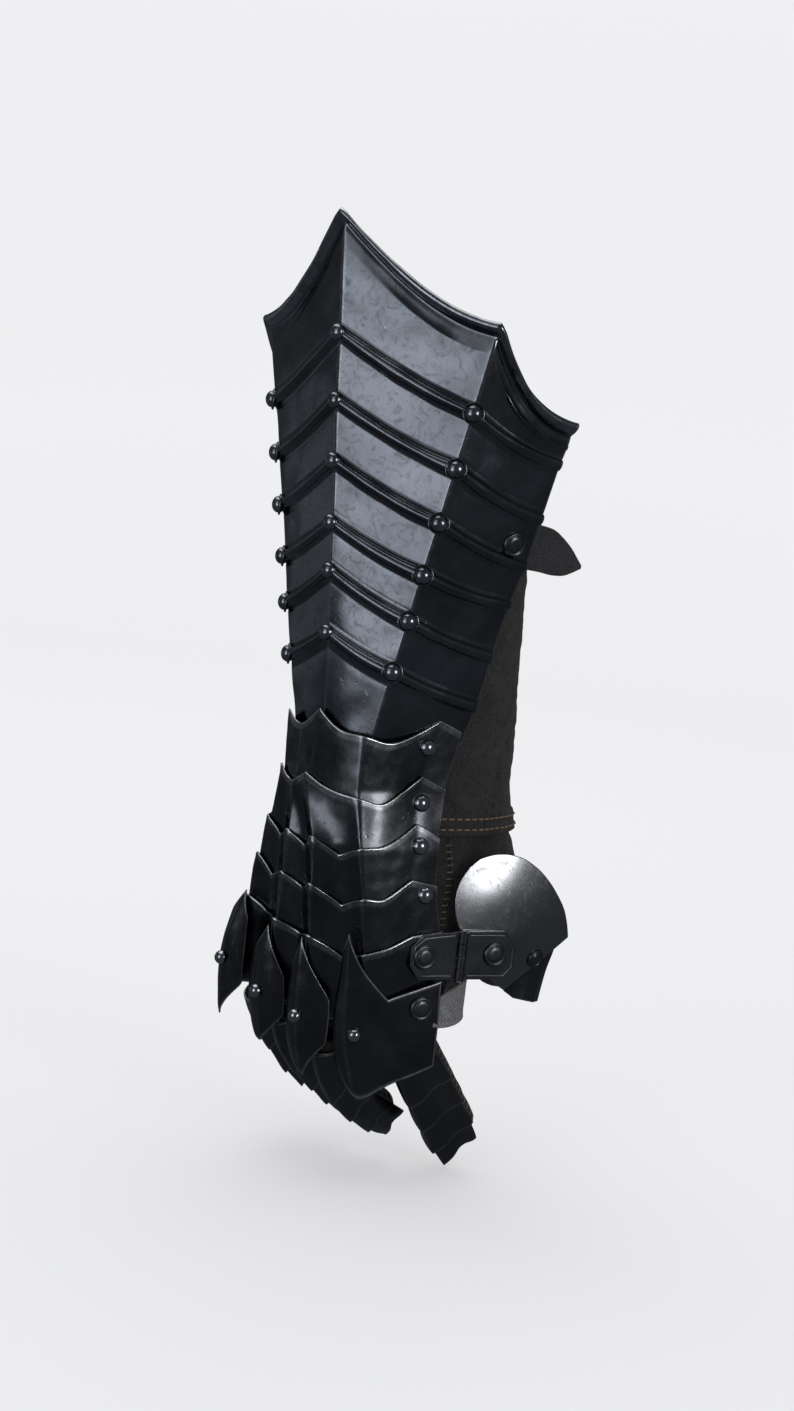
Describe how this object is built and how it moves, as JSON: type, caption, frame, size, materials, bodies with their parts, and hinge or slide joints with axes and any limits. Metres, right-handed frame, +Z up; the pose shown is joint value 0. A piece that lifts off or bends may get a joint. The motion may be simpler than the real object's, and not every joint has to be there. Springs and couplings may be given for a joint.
{
  "type": "armoured gauntlet",
  "caption": "Right-hand plate gauntlet: flared ribbed forearm cuff, overlapping wrist and hand plates, ridged knuckle and finger plates, hinged thumb guard, on a leather glove.",
  "frame": {"origin": "on the forearm's axis, just above the wrist, inside the glove's sleeve", "axes": "+Z up towards the elbow (fingers hang down), -Y out of the back of the hand, +X towards the thumb side"},
  "size_m": [0.1692, 0.1393, 0.4394],
  "materials": {
    "plate_steel": "blackened satin-gloss steel",
    "finger_steel": "blackened matt steel",
    "rivet_steel": "polished dark steel",
    "glove_leather": "charcoal matt grained leather",
    "strap_leather": "dark smooth leather"
  },
  "bodies": {
    "glove_and_plates": {"cuff": "plate_steel", "cuff_buckle": "rivet_steel", "cuff_strap_left": "strap_leather", "cuff_strap_right": "strap_leather", "flat_rivet_cuff_left": "rivet_steel", "flat_rivet_cuff_right": "rivet_steel", "flat_rivet_hand_leaf": "rivet_steel", "flat_rivet_wing": "rivet_steel", "glove_finger_index": "glove_leather", "glove_finger_little": "glove_leather", "glove_finger_middle": "glove_leather", "glove_finger_ring": "glove_leather", "glove_hand": "glove_leather", "glove_sleeve": "glove_leather", "glove_thumb": "glove_leather", "hinge_leaf_hand": "plate_steel", "hinge_pin": "rivet_steel", "index_lame_1": "finger_steel", "index_lame_2": "finger_steel", "index_lame_3": "finger_steel", "index_lame_tip": "finger_steel", "knuckle_index": "plate_steel", "knuckle_little": "plate_steel", "knuckle_middle": "plate_steel", "knuckle_ring": "plate_steel", "lame_1": "plate_steel", "lame_2": "plate_steel", "lame_3": "plate_steel", "lame_4": "plate_steel", "lame_5": "plate_steel", "little_lame_1": "finger_steel", "little_lame_2": "finger_steel", "little_lame_tip": "finger_steel", "middle_lame_1": "finger_steel", "middle_lame_2": "finger_steel", "middle_lame_3": "finger_steel", "middle_lame_tip": "finger_steel", "palm_strap": "strap_leather", "ring_lame_1": "finger_steel", "ring_lame_2": "finger_steel", "ring_lame_3": "finger_steel", "ring_lame_tip": "finger_steel", "rivet_knuckle_index": "rivet_steel", "rivet_knuckle_little": "rivet_steel", "rivet_knuckle_middle": "rivet_steel", "rivet_knuckle_ring": "rivet_steel", "rivet_lame_1_little": "rivet_steel", "rivet_lame_1_thumb": "rivet_steel", "rivet_lame_2_little": "rivet_steel", "rivet_lame_2_thumb": "rivet_steel", "rivet_lame_3_little": "rivet_steel", "rivet_lame_3_thumb": "rivet_steel", "rivet_lame_4_little": "rivet_steel", "rivet_lame_4_thumb": "rivet_steel"},
    "thumb_guard": {"hinge_leaf_thumb": "plate_steel", "thumb_disc": "plate_steel", "thumb_lame": "plate_steel", "flat_rivet_thumb_leaf": "rivet_steel", "flat_rivet_disc": "rivet_steel"}
  },
  "joints": [
    {"name": "thumb_hinge", "type": "hinge", "parent": "glove_and_plates", "child": "thumb_guard", "pos_m": [0.0592, -0.0053, -0.1075], "axis": [0, 0, -1], "range_deg": [0, 35]}
  ]
}
